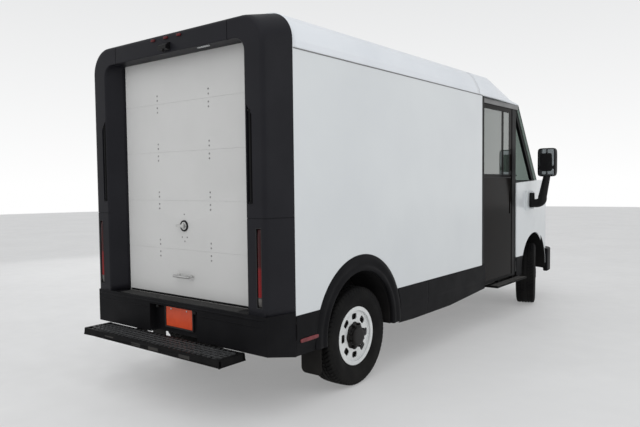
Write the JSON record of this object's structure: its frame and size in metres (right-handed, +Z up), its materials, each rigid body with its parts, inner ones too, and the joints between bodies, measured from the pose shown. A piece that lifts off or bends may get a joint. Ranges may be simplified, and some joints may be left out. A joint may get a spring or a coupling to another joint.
{
  "type": "mail delivery truck",
  "caption": "Walk-in electric delivery truck with a panelled roll-up rear door, sliding cab doors, a rear step and a black rear surround.",
  "frame": {"origin": "on the ground plane, midway along and across the truck", "axes": "+Z up, +Y towards the front, +X to the truck's right"},
  "size_m": [2.578, 6.04, 2.7049],
  "materials": {
    "chassis": "satin",
    "battery_case": "matte",
    "floor_board": "matte",
    "strut_rubber": "matte",
    "body_white": "gloss",
    "trim_black": "matte",
    "step_grating": "satin",
    "lamp_red": "gloss",
    "plate_orange": "satin",
    "track_steel": "satin",
    "flap_rubber": "matte",
    "glass_clear": "gloss",
    "lamp_clear": "gloss",
    "frame_black": "satin",
    "dash_plastic": "matte",
    "seat_shell": "matte",
    "seat_cloth": "matte",
    "bulkhead_grey": "satin",
    "door_black": "gloss",
    "door_white": "satin",
    "tyre_rubber": "matte",
    "wheel_silver": "satin"
  },
  "bodies": {
    "truck_body": {"chassis_frame": "chassis", "battery_pack": "battery_case", "cargo_floor": "floor_board", "drive_axle": "chassis", "rear_springs": "chassis", "front_subframe": "chassis", "front_struts": "strut_rubber", "side_panels": "body_white", "roof_panel": "body_white", "cab_roof": "body_white", "rear_surround": "trim_black", "grab_bars": "trim_black", "rear_bumper": "trim_black", "rear_step": "step_grating", "tail_lamps": "lamp_red", "marker_lamps": "lamp_red", "rear_camera": "trim_black", "licence_plate": "plate_orange", "door_tracks": "track_steel", "lower_cladding": "trim_black", "mud_flaps": "flap_rubber", "cab_steps": "step_grating", "front_fenders": "body_white", "front_fascia": "body_white", "front_bumper": "trim_black", "windshield": "glass_clear", "cab_frame": "frame_black", "headlamps": "lamp_clear", "dashboard": "dash_plastic", "seat_base": "seat_shell", "seat_cushions": "seat_cloth", "bulkhead": "bulkhead_grey"},
    "road_wheel_rear_right": {"tyre_rear_right": "tyre_rubber", "wheel_rear_right": "wheel_silver"},
    "road_wheel_rear_left": {"tyre_rear_left": "tyre_rubber", "wheel_rear_left": "wheel_silver"},
    "road_wheel_front_right": {"tyre_front_right": "tyre_rubber", "wheel_front_right": "wheel_silver"},
    "road_wheel_front_left": {"tyre_front_left": "tyre_rubber", "wheel_front_left": "wheel_silver"},
    "steering_knuckle_right": {"knuckle_right": "track_steel"},
    "steering_knuckle_left": {"knuckle_left": "track_steel"},
    "steering_wheel_body": {"steering_wheel": "dash_plastic"},
    "sliding_door_right": {"cab_door_right": "door_black", "door_glass_right": "glass_clear"},
    "mirror_arm_right": {"mirror_right": "trim_black"},
    "wiper_arm_right": {"wiper_right": "frame_black"},
    "sliding_door_left": {"cab_door_left": "door_black", "door_glass_left": "glass_clear"},
    "mirror_arm_left": {"mirror_left": "trim_black"},
    "wiper_arm_left": {"wiper_left": "frame_black"},
    "roll_door_1": {"rear_door_panel_1": "door_white"},
    "roll_door_2": {"rear_door_panel_2": "door_white"},
    "roll_door_3": {"rear_door_panel_3": "door_white"},
    "roll_door_4": {"rear_door_panel_4": "door_white"},
    "roll_door_5": {"rear_door_panel_5": "door_white"},
    "door_latch": {"latch_handle": "track_steel"},
    "walk_through_door": {"bulkhead_door": "bulkhead_grey"},
    "brake": {"brake_pedal": "frame_black"},
    "accelerator": {"accelerator_pedal": "frame_black"}
  },
  "joints": [
    {"name": "spin_rear_right", "type": "hinge", "parent": "truck_body", "child": "road_wheel_rear_right", "pos_m": [0.843, -1.759, 0.38], "axis": [1, 0, 0], "continuous": true},
    {"name": "spin_rear_left", "type": "hinge", "parent": "truck_body", "child": "road_wheel_rear_left", "pos_m": [-0.843, -1.759, 0.38], "axis": [1, 0, 0], "continuous": true},
    {"name": "steer_right", "type": "hinge", "parent": "truck_body", "child": "steering_knuckle_right", "pos_m": [0.7, 2.127, 0.38], "axis": [0, 0, 1], "range_deg": [-53, 17]},
    {"name": "spin_front_right", "type": "hinge", "parent": "steering_knuckle_right", "child": "road_wheel_front_right", "pos_m": [0.836, 2.17119, 0.38], "axis": [0.9511, 0.309, 0], "continuous": true},
    {"name": "steer_left", "type": "hinge", "parent": "truck_body", "child": "steering_knuckle_left", "pos_m": [-0.7, 2.127, 0.38], "axis": [0, 0, 1], "range_deg": [-53, 17]},
    {"name": "spin_front_left", "type": "hinge", "parent": "steering_knuckle_left", "child": "road_wheel_front_left", "pos_m": [-0.836, 2.08281, 0.38], "axis": [0.9511, 0.309, 0], "continuous": true},
    {"name": "steering_wheel_turn", "type": "hinge", "parent": "truck_body", "child": "steering_wheel_body", "pos_m": [-0.43, 1.86671, 1.47427], "axis": [0, -0.8192, 0.5736], "range_deg": [-796, 256]},
    {"name": "cab_door_slide_right", "type": "slide", "parent": "truck_body", "child": "sliding_door_right", "axis": [0, -1, 0], "range_m": [0, 0.75]},
    {"name": "cab_door_slide_left", "type": "slide", "parent": "truck_body", "child": "sliding_door_left", "axis": [0, -1, 0], "range_m": [0, 0.75]},
    {"name": "roll_door_lift", "type": "slide", "parent": "truck_body", "child": "roll_door_1", "axis": [0, 0, 1], "range_m": [0, 1.3]},
    {"name": "roll_door_fold_2", "type": "hinge", "parent": "roll_door_1", "child": "roll_door_2", "pos_m": [0, -2.6, 1.07], "axis": [-1, 0, 0], "range_deg": [0, 50.2]},
    {"name": "roll_door_fold_3", "type": "hinge", "parent": "roll_door_2", "child": "roll_door_3", "pos_m": [0, -2.6, 1.436], "axis": [-1, 0, 0], "range_deg": [0, 50.2]},
    {"name": "roll_door_fold_4", "type": "hinge", "parent": "roll_door_3", "child": "roll_door_4", "pos_m": [0, -2.6, 1.802], "axis": [-1, 0, 0], "range_deg": [0, 50.2]},
    {"name": "roll_door_fold_5", "type": "hinge", "parent": "roll_door_4", "child": "roll_door_5", "pos_m": [0, -2.6, 2.168], "axis": [-1, 0, 0], "range_deg": [0, 50.2]},
    {"name": "latch_turn", "type": "hinge", "parent": "roll_door_2", "child": "door_latch", "pos_m": [0, -2.62, 1.249], "axis": [0, 1, 0], "range_deg": [0, 90]},
    {"name": "walk_through_slide", "type": "slide", "parent": "truck_body", "child": "walk_through_door", "axis": [-1, 0, 0], "range_m": [0, 0.56]},
    {"name": "mirror_fold_right", "type": "hinge", "parent": "truck_body", "child": "mirror_arm_right", "pos_m": [0.999, 1.907, 1.315], "axis": [0, 0, 1], "range_deg": [-70, 30]},
    {"name": "mirror_fold_left", "type": "hinge", "parent": "truck_body", "child": "mirror_arm_left", "pos_m": [-0.999, 1.907, 1.315], "axis": [0, 0, 1], "range_deg": [-30, 70]},
    {"name": "wiper_sweep_left", "type": "hinge", "parent": "truck_body", "child": "wiper_arm_left", "pos_m": [-0.61494, 2.48465, 1.61711], "axis": [-0.2108, 0.7868, 0.5801], "range_deg": [-80, 0]},
    {"name": "wiper_sweep_right", "type": "hinge", "parent": "truck_body", "child": "wiper_arm_right", "pos_m": [0.02843, 2.58645, 1.69217], "axis": [0.2108, 0.7868, 0.5801], "range_deg": [-80, 0]},
    {"name": "brake_press", "type": "hinge", "parent": "truck_body", "child": "brake", "pos_m": [-0.4, 2.154, 1.11], "axis": [1, 0, 0], "range_deg": [0, 18], "stiffness_Nm_per_rad": 20, "springref_deg": -5.73},
    {"name": "accelerator_press", "type": "hinge", "parent": "truck_body", "child": "accelerator", "pos_m": [-0.28, 2.154, 1.11], "axis": [1, 0, 0], "range_deg": [0, 15], "stiffness_Nm_per_rad": 12, "springref_deg": -5.73}
  ],
  "couplings": [
    {"joint": "steer_left", "follows": "steer_right", "ratio": 1},
    {"joint": "steering_wheel_turn", "follows": "steer_right", "ratio": 15},
    {"joint": "wiper_sweep_left", "follows": "wiper_sweep_right", "ratio": 1},
    {"joint": "roll_door_fold_2", "follows": "roll_door_lift", "rad_per_m": 0.6713},
    {"joint": "roll_door_fold_3", "follows": "roll_door_lift", "rad_per_m": 0.6713},
    {"joint": "roll_door_fold_4", "follows": "roll_door_lift", "rad_per_m": 0.6713},
    {"joint": "roll_door_fold_5", "follows": "roll_door_lift", "rad_per_m": 0.6713}
  ]
}
